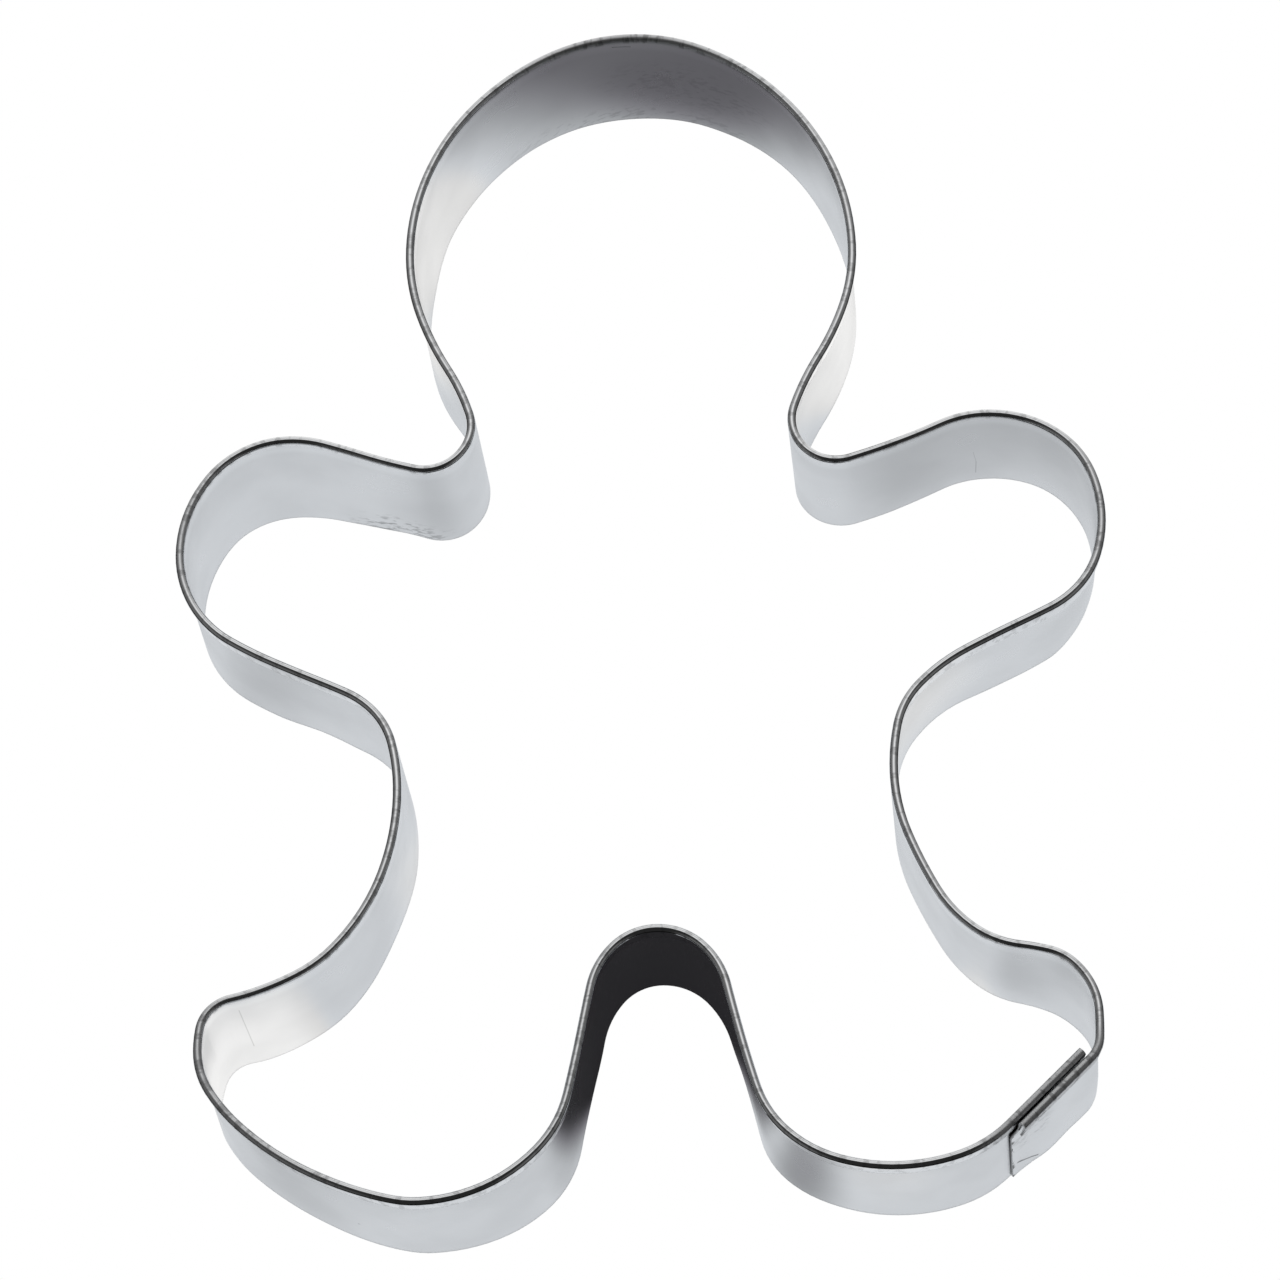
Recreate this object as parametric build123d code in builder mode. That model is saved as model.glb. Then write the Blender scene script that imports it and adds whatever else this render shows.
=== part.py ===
"""Gingerbread-figure cookie cutter: one hemmed tinplate strip, bent round and spot-welded at a lap."""
import os
from math import cos, radians, sin, sqrt

from build123d import *

os.makedirs("parts", exist_ok=True)

# Figure, measured between the middles of the hem
figure_length = 150.0
figure_width = 110.0

# Strip of tinplate
strip_height = 19.0
sheet_thickness = 0.3

# Hem, the strip's top edge folded outwards and back down to give a safe rim
hem_fold_radius = 0.225
hem_leg_height = 3.0
hem_mouth = 0.1
crest_flat_count = 8
fold_flat_count = 2

# Lap on the outer side of one foot, where the strip's two ends are joined
lap_length = 12.0
lap_heading = 43.5
lap_hem_gap = 0.2
lap_seam_gap = 0.05

# Joggle, which takes the outer end's wall in under the inner end's hem
joggle_drop = 1.2
joggle_height = 5.0
joggle_run = 9.0

# Mitre at the outer end's upper corner
mitre_setback = 0.8
mitre_height = 6.0

# Spot welds through both ends
weld_diameter = 1.6
weld_from_end = 1.8
weld_heights = (4.0, 9.0)
weld_dimple = 0.05

hem_width = 2 * (sheet_thickness + hem_fold_radius)
lap_offset = (hem_width + lap_hem_gap) / 2
joggle_shift = hem_width + lap_hem_gap - sheet_thickness - lap_seam_gap

# Middle of the lap, as shares of the figure's width and length from its centre
lap_middle_share = (0.4095, -0.4365)

# Places on the hem's middle line, anticlockwise from the lap: shares of the figure's width
# and length from its centre, and the heading there in degrees, 0 along +X and 90 along +Y
right_leg_shares = (
    (0.465, -0.375, 90),
    (0.441, -0.333, 135),
    (0.388, -0.317, 170),
    (0.303, -0.267, 117),
    (0.264, -0.169, 90),
)
right_arm_shares = (
    (0.296, -0.094, 45),
    (0.407, -0.046, 24),
    (0.468, -0.020, 45),
    (0.500, 0.044, 90),
    (0.466, 0.111, 135),
    (0.378, 0.137, 180),
    (0.286, 0.117, 199),
    (0.186, 0.114, 135),
)
head_shares = (
    (0.203, 0.197, 58),
    (0.245, 0.295, 90),
    (0.159, 0.447, 135),
    (0.000, 0.500, 180),
    (-0.167, 0.445, 225),
    (-0.245, 0.306, 270),
    (-0.205, 0.204, 299),
)
left_arm_shares = (
    (-0.195, 0.126, 225),
    (-0.300, 0.131, 158),
    (-0.384, 0.148, 180),
    (-0.500, 0.051, 270),
    (-0.445, -0.026, 326),
    (-0.348, -0.065, 334),
    (-0.295, -0.089, 315),
)
left_leg_shares = (
    (-0.265, -0.159, 270),
    (-0.335, -0.291, 225),
    (-0.418, -0.324, 197),
    (-0.465, -0.337, 225),
    (-0.478, -0.370, 270),
    (-0.435, -0.432, 315),
    (-0.296, -0.493, 342),
    (-0.247, -0.500, 0),
    (-0.124, -0.463, 45),
    (-0.075, -0.371, 78),
    (-0.040, -0.302, 45),
)
right_foot_shares = (
    (0.054, -0.303, 315),
    (0.091, -0.377, 283),
    (0.136, -0.458, 315),
    (0.254, -0.490, 0),
)


def place(shares):
    """Point of the plan at these shares of the figure's width and length"""
    return Vector(shares[0] * figure_width, shares[1] * figure_length)


def direction(heading):
    """Unit vector along a heading"""
    return Vector(cos(radians(heading)), sin(radians(heading)))


def outwards(heading):
    """Unit vector out of the figure, square to a heading"""
    return Vector(sin(radians(heading)), -cos(radians(heading)))


lap_run = direction(lap_heading)
lap_out = outwards(lap_heading)
lap_start = place(lap_middle_share) - lap_run * lap_length / 2
lap_finish = lap_start + lap_run * lap_length
outer_end = lap_start + lap_out * lap_offset


def across_lap(along):
    """Plane across the outer end of the strip, with X out of the figure and Y up"""
    return Plane(origin=outer_end + lap_run * along, x_dir=lap_out, z_dir=-lap_run)


def biarc(start, finish):
    """Two tangent arcs from one place and heading to the next"""
    start_point, start_direction = start
    finish_point, finish_direction = finish
    chord = finish_point - start_point
    both = start_direction + finish_direction
    turn = 2 * (1 - start_direction.dot(finish_direction))
    along = chord.dot(both)
    reach = (sqrt(along**2 + turn * chord.dot(chord)) - along) / turn
    middle = (start_point + start_direction * reach + finish_point - finish_direction * reach) / 2
    first = TangentArc(start_point, middle, tangent=start_direction)
    TangentArc(middle, finish_point, tangent=first % 1)


def wall_face(face, crest, shift):
    """One face of the wall from the cutting edge to the crest, with the joggle where it is shifted"""
    if shift is None:
        Line((face, 0), (face, crest))
        return
    joggle_top = strip_height - joggle_drop
    joggle_middle = joggle_top - joggle_height / 2
    joggle_foot = joggle_top - joggle_height
    Line((face - shift, 0), (face - shift, joggle_foot))
    Bezier(
        (face - shift, joggle_foot),
        (face - shift, joggle_middle),
        (face, joggle_middle),
        (face, joggle_top),
    )
    Line((face, joggle_top), (face, crest))


def crest_line(crest, radius, flat_count):
    """One face of the fold's rounded top, as short flats from the wall over to the leg"""
    turns = [radians(180 - 180 * step / flat_count) for step in range(flat_count + 1)]
    Polyline(*[(radius * cos(turn), crest + radius * sin(turn)) for turn in turns])


def strip_section(plane, shift=None):
    """Section across the strip: wall, rounded crest and folded leg, with X out of the figure"""
    inner = -hem_width / 2
    outer = hem_width / 2
    crest = strip_height - hem_width / 2
    leg_end = strip_height - hem_leg_height
    leg_inner = inner + sheet_thickness + hem_mouth
    cut_edge = inner if shift is None else inner - shift
    with BuildSketch(plane) as section:
        with BuildLine():
            Line((cut_edge, 0), (cut_edge + sheet_thickness, 0))
            wall_face(inner, crest, shift)
            wall_face(inner + sheet_thickness, crest, shift)
            crest_line(crest, hem_width / 2, crest_flat_count)
            crest_line(crest, hem_fold_radius, fold_flat_count)
            Polyline(
                (outer, crest),
                (leg_inner + sheet_thickness, leg_end),
                (leg_inner, leg_end),
                (outer - sheet_thickness, crest),
            )
        make_face()
    return section.sketch


def weld_plane(depth):
    """Upright plane facing out of the lap, a depth into the sheet from the inner end's inner face"""
    across = depth - lap_offset - hem_width / 2
    origin = lap_start + lap_run * weld_from_end + lap_out * across
    return Plane(origin=origin, x_dir=lap_run, z_dir=lap_out)


places = right_leg_shares + right_arm_shares + head_shares + left_arm_shares
places += left_leg_shares + right_foot_shares
stations = [(lap_finish + lap_out * lap_offset, lap_run)]
stations += [(place(spot), direction(spot[2])) for spot in places]
stations += [(lap_start - lap_out * lap_offset, lap_run)]

# Hem's middle line, from where the outer end leaves the lap round to the inner free end
with BuildLine() as outline:
    for start, finish in zip(stations, stations[1:]):
        biarc(start, finish)
    Line(lap_start - lap_out * lap_offset, lap_finish - lap_out * lap_offset)

with BuildPart() as cutter_band:
    # Outer end of the strip, joggled in under the inner end's hem, with its corner mitred
    joggled = strip_section(across_lap(lap_length - joggle_run), joggle_shift)
    extrude(joggled, amount=lap_length - joggle_run)
    with BuildSketch(Plane(origin=outer_end, x_dir=lap_run, z_dir=lap_out)):
        with BuildLine():
            Polyline(
                (0, strip_height - mitre_height),
                (mitre_setback, strip_height),
                (0, strip_height),
                close=True,
            )
        make_face()
    extrude(amount=hem_width + joggle_shift, both=True, mode=Mode.SUBTRACT)
    # Run-out of the joggle, and the rest of the strip along the outline
    loft([joggled, strip_section(across_lap(lap_length), 0)], ruled=True)
    sweep(strip_section(across_lap(lap_length)), path=outline.wire())
    # Seats of the spot welds through both ends
    with BuildSketch(weld_plane(-lap_seam_gap)):
        with Locations(*[(0, height) for height in weld_heights]):
            Circle(weld_diameter / 2)
    extrude(amount=2 * sheet_thickness + 3 * lap_seam_gap, mode=Mode.SUBTRACT)

with BuildPart() as spot_welds:
    with BuildSketch(weld_plane(weld_dimple)):
        with Locations(*[(0, height) for height in weld_heights]):
            Circle(weld_diameter / 2)
    extrude(amount=2 * sheet_thickness + lap_seam_gap - 2 * weld_dimple)

cutter_band.part.label = "cutter_band"
spot_welds.part.label = "spot_welds"
export_step(cutter_band.part, "parts/cutter_band.step")
export_step(spot_welds.part, "parts/spot_welds.step")
print("strip length", outline.wire().length + lap_length)
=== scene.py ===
"""Gingerbread-figure cookie cutter: the looks of its hemmed tinplate strip, its spot welds and its stage."""

import cmath
from functools import reduce
from math import ceil, cos, pi, radians, sin, sqrt

import bmesh
import bpy
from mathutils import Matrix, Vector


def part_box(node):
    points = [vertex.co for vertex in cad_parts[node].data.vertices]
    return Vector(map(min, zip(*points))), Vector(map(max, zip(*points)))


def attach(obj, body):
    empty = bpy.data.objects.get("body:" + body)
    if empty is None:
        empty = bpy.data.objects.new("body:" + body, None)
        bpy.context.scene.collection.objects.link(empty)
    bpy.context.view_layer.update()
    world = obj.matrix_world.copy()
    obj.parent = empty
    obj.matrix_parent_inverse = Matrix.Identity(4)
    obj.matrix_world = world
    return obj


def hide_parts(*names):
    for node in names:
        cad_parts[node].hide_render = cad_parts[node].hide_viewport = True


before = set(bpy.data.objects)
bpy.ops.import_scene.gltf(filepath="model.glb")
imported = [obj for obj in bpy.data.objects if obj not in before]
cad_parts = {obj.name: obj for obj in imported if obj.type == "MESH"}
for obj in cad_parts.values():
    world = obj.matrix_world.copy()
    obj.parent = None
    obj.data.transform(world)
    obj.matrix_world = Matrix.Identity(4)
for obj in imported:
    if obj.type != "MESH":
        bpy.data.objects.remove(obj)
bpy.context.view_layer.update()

bl_info = {
    "name": "Hemmed Cookie Cutter",
    "version": (1, 0, 0),
    "blender": (4, 5, 0),
    "location": "3D View > Sidebar > Cutter",
    "description": "Makes a hemmed tinplate cookie cutter on its packed frame, and a white stage",
    "category": "Add Mesh",
}

MM = 0.001
band_low, band_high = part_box("cutter_band")
weld_low, weld_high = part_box("spot_welds")

# Strip, in metres
HEM_WIDTH = 1.05 * MM
SHEET = 0.30 * MM
HEM_LEG = 3.0 * MM
HEM_MOUTH = 0.1 * MM
LEG_END_ROUND = 0.1 * MM
EDGE_ROUND = 0.05 * MM
WELD_RADIUS = 0.8 * MM
FIGURE_WIDTH = band_high.x - band_low.x - HEM_WIDTH
FIGURE_LENGTH = band_high.y - band_low.y - HEM_WIDTH
STRIP_HEIGHT = band_high.z - band_low.z

# Lap, in metres, with its heading in degrees and its middle in shares of the figure's width and length
LAP_LENGTH = 12.0 * MM
LAP_HEADING = 43.5
LAP_HEM_GAP = 0.2 * MM
LAP_SEAM_GAP = 0.05 * MM
LAP_MIDDLE_SHARE = (0.4095, -0.4365)

# Fineness of the strip's mesh: steps round the crest and the fold, the widest turn between two
# sections, their spacing in the lap, and the spacing of points up the wall and near a weld
CREST_STEPS = 18
FOLD_STEPS = 8
SECTION_TURN = radians(4.5)
LAP_STEP = 0.25 * MM
WALL_STEP = 1.0 * MM
WELD_STEP = 0.25 * MM
WELD_STEPS_EACH_WAY = 6
WELD_REACH = 1.6 * MM
MERGE_DISTANCE = 0.001 * MM
SHARP_ANGLE = radians(40)

# Forms that are shares of another size: the dent's flat middle and rim, of the weld's radius, the
# run of the mitre, of its setback, and the flanks that face each other in the lap, of half the hem
DENT_MIDDLE = 0.9
DENT_RIM = 1.25
MITRE_RUN = 3.0
OUTER_FLANK = (-1.0, -0.94)
INNER_FLANK = (0.9, 0.98)

# Places on the hem's middle line, anticlockwise from the lap: shares of the figure's width
# and length from its centre, and the heading there in degrees, 0 along +X and 90 along +Y
OUTLINE_SHARES = (
    # Right leg
    (0.465, -0.375, 90),
    (0.441, -0.333, 135),
    (0.388, -0.317, 170),
    (0.303, -0.267, 117),
    (0.264, -0.169, 90),
    # Right arm
    (0.296, -0.094, 45),
    (0.407, -0.046, 24),
    (0.468, -0.020, 45),
    (0.500, 0.044, 90),
    (0.466, 0.111, 135),
    (0.378, 0.137, 180),
    (0.286, 0.117, 199),
    (0.186, 0.114, 135),
    # Head
    (0.203, 0.197, 58),
    (0.245, 0.295, 90),
    (0.159, 0.447, 135),
    (0.000, 0.500, 180),
    (-0.167, 0.445, 225),
    (-0.245, 0.306, 270),
    (-0.205, 0.204, 299),
    # Left arm
    (-0.195, 0.126, 225),
    (-0.300, 0.131, 158),
    (-0.384, 0.148, 180),
    (-0.500, 0.051, 270),
    (-0.445, -0.026, 326),
    (-0.348, -0.065, 334),
    (-0.295, -0.089, 315),
    # Left leg
    (-0.265, -0.159, 270),
    (-0.335, -0.291, 225),
    (-0.418, -0.324, 197),
    (-0.465, -0.337, 225),
    (-0.478, -0.370, 270),
    (-0.435, -0.432, 315),
    (-0.296, -0.493, 342),
    (-0.247, -0.500, 0),
    (-0.124, -0.463, 45),
    (-0.075, -0.371, 78),
    (-0.040, -0.302, 45),
    # Right foot
    (0.054, -0.303, 315),
    (0.091, -0.377, 283),
    (0.136, -0.458, 315),
    (0.254, -0.490, 0),
)

# Where bending by hand left the wall leaning: distance along the strip from its outer end, half the
# length of the lean, and how far the cutting edge lies out of the figure there, all in millimetres
LEANS = {
    "lap": (5, 5, 0.45),
    "right heel": (13.5, 4, -0.3),
    "right ankle": (26, 6, -0.4),
    "right thigh": (42, 18, 0.45),
    "right elbow": (76, 16, -1.4),
    "right hand": (95, 16, -1.6),
    "right fingers": (118, 10, 0.35),
    "right shoulder": (130, 22, 0.8),
    "right neck": (145, 8, 0.3),
    "right cheek": (200, 12, 0.35),
    "crown": (222, 16, -0.55),
    "left cheek": (261, 9, -0.35),
    "left neck": (277, 8, 0.4),
    "left armpit": (297, 7, -0.35),
    "left shoulder": (315, 14, -1.05),
    "left hand": (344, 16, 0.2),
    "left elbow": (362, 6, -0.3),
    "left thigh": (395, 11, 0.6),
    "left ankle": (416, 13, -0.7),
    "left heel": (432, 16, 0.55),
    "left sole": (454, 18, 0.4),
    "left toe": (475, 16, 0.7),
    "crotch, left": (494, 12, 0.45),
    "crotch": (516, 15, 0.95),
    "crotch, right": (533, 12, 0.75),
}

# Marks on the wall, some of them painted shade: how dark (below 0) or light, which face they are on
# (-1 the inner one), both ends as distance along the strip and height, and width, in millimetres
MARKS = {
    "crown scratch": (0.6, -1, (237.4, 12.4), (238.3, 12.9), 0.12),
    "crown dash": (-0.8, -1, (221.6, 17.4), (223.9, 17.6), 0.10),
    "arm scratch, long": (0.4, -1, (308.0, 2.2), (299.6, 0.6), 0.12),
    "arm scratch, first": (-0.5, -1, (304.9, 1.5), (302.6, 1.1), 0.14),
    "arm scratch, second": (-0.6, -1, (302.0, 0.7), (300.2, 0.4), 0.16),
    # Painted shade along small creases of the sheet
    "foot crease shade": (-0.3, -1, (416.9, 16.0), (416.7, 5.0), 0.10),
    "arm crease shade, upper": (-0.25, -1, (126.9, 8.5), (126.6, 5.6), 0.07),
    "arm crease shade, lower": (-0.35, -1, (126.6, 5.6), (126.7, 2.3), 0.09),
    # A short dark line low on the lap
    "lap dark line": (-0.85, 1, (0.8, 3.6), (3.7, 1.1), 0.24),
    # Painted shadows where the outer end stands off the inner one
    "end shadow, upper": (-1.0, 1, (0.0, 11.8), (0.2, 11.4), 0.5),
    "end shadow, lower": (-1.0, 1, (0.0, 4.0), (0.1, 3.0), 0.4),
    "foot speck": (-0.4, 1, (451.0, 5.4), (451.1, 5.5), 0.20),
}

# Patches of small scuffs on the wall: how dark, which face they are on, and their middle and reach as
# distance along the strip and height, in millimetres
SCUFFS = {
    "arm": (0.50, -1, (304, 0.5), (8, 5)),
    "crown": (0.13, -1, (214, 9), (16, 7)),
    "crown edge": (0.20, -1, (222, 1.0), (26, 3)),
    "lap": (0.25, 1, (2.5, 11), (5, 5)),
}

# Stretches of the hem that bending left dull: distance along the strip, half the length of the
# stretch, both in millimetres, and how dull it is
DULL_STRETCHES = {
    "crown": (222, 34, 1.0),
    "right hand": (104, 18, 0.35),
    "left hand": (334, 18, 0.5),
    "left foot": (432, 34, 0.6),
}

# Where the finish changes, in metres: distance from a free end over which the lap's dull hem turns
# bright, height of the rim's painted sheen, and reach of the sheared ends, dark as raw steel and as
# painted shadow, and of the cutting edge
LAP_DULL = (13 * MM, 18 * MM)
RIM_SHEEN = (16.2 * MM, 17.6 * MM)
SHEARED = (-0.16 * MM, 0.10 * MM)
SHEARED_RAGGED = 0.30 * MM
CUT_EDGE = (0.05 * MM, 0.22 * MM)

# Sizes of the finish, in metres: what keeps the wall's two faces apart on the unrolled sheet, the
# grain, and the depth of the relief
FACES_APART = 5.0 * MM
GRAIN_SIZES = {"Speck size": 0.25 * MM, "Bite length": 1.0 * MM}
RELIEF = 0.02 * MM

# How strongly each shows in the colour, from 0 to 1, and how much the hem is spared the dark ends
RIM_LIGHT = 0.4
DULL_DARK = 0.25
BITES_DARK = 0.45
BITES_DARKER_WHERE_DULL = 0.20
CUT_EDGE_DARK = 0.35
END_SHADOW_AND_SHEAR_DARK = 0.9
SHEARED_HEM_SPARED = 0.8

# How much each adds to the roughness, and shares of the relief
CLOUDS_ROUGH = 0.03
BITES_ROUGH = 0.10
DULL_ROUGH = 0.36
SHADE_AND_RAW_EDGE_ROUGH = 0.30
SPECKS_DEEP = 0.15
BITES_DEEP = 1.2

# Shades of the metals, from bright to dark, the light metal of the rim's painted sheen and the bare
# metal of light scratches, and the roughness of a weld, with what its clouds make of it
TIN_SHADES = (1.0, 0.95, 0.40, 0.03)
WELD_SHADES = (1.0, 0.75)
SHEEN_AND_BARE_METAL = (0.92, 0.93, 0.94, 1.0)
WELD_ROUGHNESS = 0.4
WELD_CLOUDS = (0.34, 0.48)

# Floor, in metres, with its tints in the shade, in half light and in full light, the rim of a pool
# as a share of its reach, and how far a reflection still shows the floor before it is clear
FLOOR_HALF = 2.0
FLOOR_DROP = 0.01 * MM
SHADE_TINT = (1.03, 1.0, 1.105, 1.0)
HALF_LIGHT_TINT = (0.955, 0.985, 1.02, 1.0)
FULL_LIGHT_TINT = (1.01, 1.0, 0.985, 1.0)
POOL_RIM = 1.15
FLOOR_SHOWS = (24 * MM, 32 * MM)

# Brightness of the studio: high behind the cutter, the sweep behind it and its share at both ends,
# the room in front and at the sides, and the room's share below
HIGH_LIGHT = 1.25
SWEEP_LIGHT = 1.15
SWEEP_ENDS = 0.35
ROOM_LIGHT = 0.03
SIDE_LIGHT = 0.19
ROOM_BELOW = 0.15

# Pools of shade and light that the walls mirror in the floor: centre and reach in millimetres, share
# of the reach that is at full strength, and how much lighter or darker than the floor it is
POOLS = {
    "crown": ((3.5, 64.2), (15.5, 14), 0.35, -0.84),
    "crown, left": ((-9, 69), (10, 9), 0.0, -0.25),
    "behind the crown": ((0, 92), (16, 12), 0.5, 0.4),
    "behind the left arm": ((-45, 42), (18, 18), 0.6, 0.4),
    "behind the right arm": ((56, 42), (18, 18), 0.6, 0.4),
    "notch": ((-0.5, -52), (11.5, 18), 0.70, -0.97),
    "left toe": ((-8, -67), (6, 5), 0.2, -0.20),
    "right foot": ((12, -72), (9, 7), 0.2, -0.55),
    "right shoulder": ((39, 13), (15, 9), 0.2, -0.28),
    "left shoulder": ((-27, 11), (10, 8), 0.1, -0.18),
    "left hand": ((-52, -10), (12, 10), 0.1, -0.20),
    "left heel": ((-50, -72), (14, 10), 0.1, -0.18),
    "right ankle": ((39.5, -52), (6, 6), 0.1, -0.24),
    "left cheek": ((-19, 54), (10, 14), 0.3, 0.28),
    "right cheek": ((31, 37), (10, 16), 0.4, 0.36),
    "left toes": ((-47, -52), (11, 9), 0.4, 0.42),
    "left thigh": ((-30, -27), (7, 9), 0.2, 0.12),
    "right elbow": ((38, -16), (10, 8), 0.2, 0.16),
    "right sole": ((22, -84), (22, 10), 0.3, 0.12),
    "right ankle, top": ((41, -45), (9, 5), 0.3, 0.14),
}


class CutterStripSizes(bpy.types.PropertyGroup):
    """Sizes of the strip that the cutter is bent from"""

    figure_width: bpy.props.FloatProperty(
        name="Figure width",
        description="Width of the figure between the middles of the hem",
        default=FIGURE_WIDTH,
        unit="LENGTH",
    )
    figure_length: bpy.props.FloatProperty(
        name="Figure length",
        description="Length of the figure between the middles of the hem",
        default=FIGURE_LENGTH,
        unit="LENGTH",
    )
    height: bpy.props.FloatProperty(
        name="Strip height",
        description="Height from the cutting edge to the top of the hem",
        default=STRIP_HEIGHT,
        unit="LENGTH",
    )
    lap_length: bpy.props.FloatProperty(
        name="Lap length",
        description="Length over which the strip's two ends lie one on the other",
        default=LAP_LENGTH,
        unit="LENGTH",
    )
    joggle_drop: bpy.props.FloatProperty(
        name="Joggle drop",
        description="Distance from the top of the hem down to the start of the joggle",
        default=1.2 * MM,
        unit="LENGTH",
    )
    joggle_height: bpy.props.FloatProperty(
        name="Joggle height",
        description="Height over which the outer end's wall steps in",
        default=5.0 * MM,
        unit="LENGTH",
    )
    joggle_run: bpy.props.FloatProperty(
        name="Joggle run",
        description="Length over which the joggle runs out along the strip",
        default=9.0 * MM,
        unit="LENGTH",
    )
    mitre_setback: bpy.props.FloatProperty(
        name="Mitre setback",
        description="How far the outer end's upper corner is cut back",
        default=0.8 * MM,
        unit="LENGTH",
    )
    mitre_height: bpy.props.FloatProperty(
        name="Mitre height",
        description="Height of the outer end's cut corner",
        default=6.0 * MM,
        unit="LENGTH",
    )
    ripple: bpy.props.FloatProperty(
        name="Ripple",
        description="How far the hand-bent wall wanders from true",
        default=0.08 * MM,
        unit="LENGTH",
    )
    lean: bpy.props.FloatProperty(
        name="Lean",
        description="Share of the leans that the wall shows",
        default=1.0,
        min=0.0,
        max=1.5,
        subtype="FACTOR",
    )
    ring_step: bpy.props.FloatProperty(
        name="Ring step",
        description="Longest distance between two sections along the strip",
        default=1.3 * MM,
        unit="LENGTH",
    )


class CutterWeldSizes(bpy.types.PropertyGroup):
    """Sizes of the spot welds in the lap"""

    diameter: bpy.props.FloatProperty(
        name="Weld diameter",
        description="Diameter of each spot weld",
        default=2 * WELD_RADIUS,
        unit="LENGTH",
    )
    from_end: bpy.props.FloatProperty(
        name="Distance from the end",
        description="Distance of the welds from the outer end of the strip",
        default=1.8 * MM,
        unit="LENGTH",
    )
    lower: bpy.props.FloatProperty(
        name="Lower weld",
        description="Height of the lower weld's centre",
        default=weld_low.z + WELD_RADIUS,
        unit="LENGTH",
    )
    upper: bpy.props.FloatProperty(
        name="Upper weld",
        description="Height of the upper weld's centre",
        default=weld_high.z - WELD_RADIUS,
        unit="LENGTH",
    )
    dent: bpy.props.FloatProperty(
        name="Dent",
        description="Depth of the electrode's dent in each face of the lap",
        default=0.07 * MM,
        unit="LENGTH",
    )


class CutterFinish(bpy.types.PropertyGroup):
    """Colours and gloss of the metal"""

    tin_colour: bpy.props.FloatVectorProperty(
        name="Tin colour",
        description="Colour of the bright tinned face",
        default=(0.755, 0.762, 0.770),
        size=3,
        min=0.0,
        max=1.0,
        subtype="COLOR",
    )
    weld_colour: bpy.props.FloatVectorProperty(
        name="Weld colour",
        description="Colour of the pressed weld",
        default=(0.62, 0.63, 0.65),
        size=3,
        min=0.0,
        max=1.0,
        subtype="COLOR",
    )
    wall_roughness: bpy.props.FloatProperty(
        name="Wall roughness",
        description="Roughness of the flat wall",
        default=0.30,
        min=0.0,
        max=1.0,
        subtype="FACTOR",
    )
    hem_roughness: bpy.props.FloatProperty(
        name="Hem roughness",
        description="Roughness of the hem, which rolling has burnished",
        default=0.09,
        min=0.0,
        max=1.0,
        subtype="FACTOR",
    )


class CutterStage(bpy.types.PropertyGroup):
    """Camera and studio"""

    camera_place: bpy.props.FloatVectorProperty(
        name="Camera place",
        description="Where the camera stands",
        default=(39.746 * MM, -292.482 * MM, 652.612 * MM),
        size=3,
        subtype="TRANSLATION",
        unit="LENGTH",
    )
    camera_turn: bpy.props.FloatVectorProperty(
        name="Camera turn",
        description="Euler angles of the camera",
        default=(radians(24.121), radians(4.265), radians(-1.482)),
        size=3,
        subtype="EULER",
        unit="ROTATION",
    )
    camera_view: bpy.props.FloatProperty(
        name="Camera view",
        description="Angle of view across the picture",
        default=radians(12.382),
        subtype="ANGLE",
        unit="ROTATION",
    )
    floor_shine: bpy.props.FloatProperty(
        name="Floor brightness",
        description="Brightness of the white floor as the metal mirrors it",
        default=0.80,
        min=0.0,
        max=4.0,
    )


def add(tree, kind, values=None, **settings):
    """Adds a node to a tree, with its settings, and its inputs set or linked"""
    node = tree.nodes.new(kind)
    for name, value in settings.items():
        setattr(node, name, value)
    for key, value in (values or {}).items():
        if isinstance(value, bpy.types.NodeSocket):
            tree.links.new(value, node.inputs[key])
        else:
            node.inputs[key].default_value = value
    return node


def calc(tree, operation, *values):
    """Output of a Math node"""
    return add(tree, "ShaderNodeMath", dict(enumerate(values)), operation=operation).outputs[0]


def product(tree, *values):
    """Numbers multiplied, in their order"""
    return reduce(lambda first, second: calc(tree, "MULTIPLY", first, second), values)


def summed(tree, *values):
    """Numbers added up, in their order"""
    return reduce(lambda first, second: calc(tree, "ADD", first, second), values)


def vec(tree, operation, *values):
    """Output of a Vector Math node"""
    node = add(tree, "ShaderNodeVectorMath", dict(enumerate(values)), operation=operation)
    return node.outputs["Value" if operation in ("DOT_PRODUCT", "LENGTH", "DISTANCE") else "Vector"]


def scaled(tree, vector, factor):
    """A vector times a number"""
    values = {0: vector, "Scale": factor}
    return add(tree, "ShaderNodeVectorMath", values, operation="SCALE").outputs["Vector"]


def ramp(tree, value, low, high, first=0.0, last=1.0):
    """Smooth step of a value from one number to another"""
    values = {"Value": value, "From Min": low, "From Max": high, "To Min": first, "To Max": last}
    return add(tree, "ShaderNodeMapRange", values, interpolation_type="SMOOTHSTEP").outputs["Result"]


def bell(tree, value, middle, width):
    """Soft mask round a value, 1 in its middle and 0 at that width from it"""
    distance = calc(tree, "ABSOLUTE", calc(tree, "SUBTRACT", value, middle))
    return ramp(tree, distance, 0.0, width, 1.0, 0.0)


def noise(tree, values, **settings):
    """Soft noise, from 0 to 1"""
    return add(tree, "ShaderNodeTexNoise", values, **settings).outputs["Fac"]


def blended(tree, factor, first, second):
    """Colour between two colours"""
    values = {"Factor": factor, "A": first, "B": second}
    node = tree.nodes.new("ShaderNodeMix")
    node.data_type = "RGBA"
    for key, value in values.items():
        socket = next(s for s in node.inputs if s.name == key and s.enabled)
        if isinstance(value, bpy.types.NodeSocket):
            tree.links.new(value, socket)
        else:
            socket.default_value = value
    return next(s for s in node.outputs if s.enabled)


def new_group(name, kind, inputs, outputs):
    """Node group with named sockets of these kinds, and the sockets that bring its inputs in"""
    group = bpy.data.node_groups.new(name, kind)
    for in_out, sockets in (("INPUT", inputs), ("OUTPUT", outputs)):
        for socket, socket_kind in sockets.items():
            group.interface.new_socket(socket, in_out=in_out, socket_type="NodeSocket" + socket_kind)
    return group, add(group, "NodeGroupInput").outputs


# Outline

def dot(first, second):
    """Scalar product of two plan vectors, kept as complex numbers"""
    return (first.conjugate() * second).real


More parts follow.
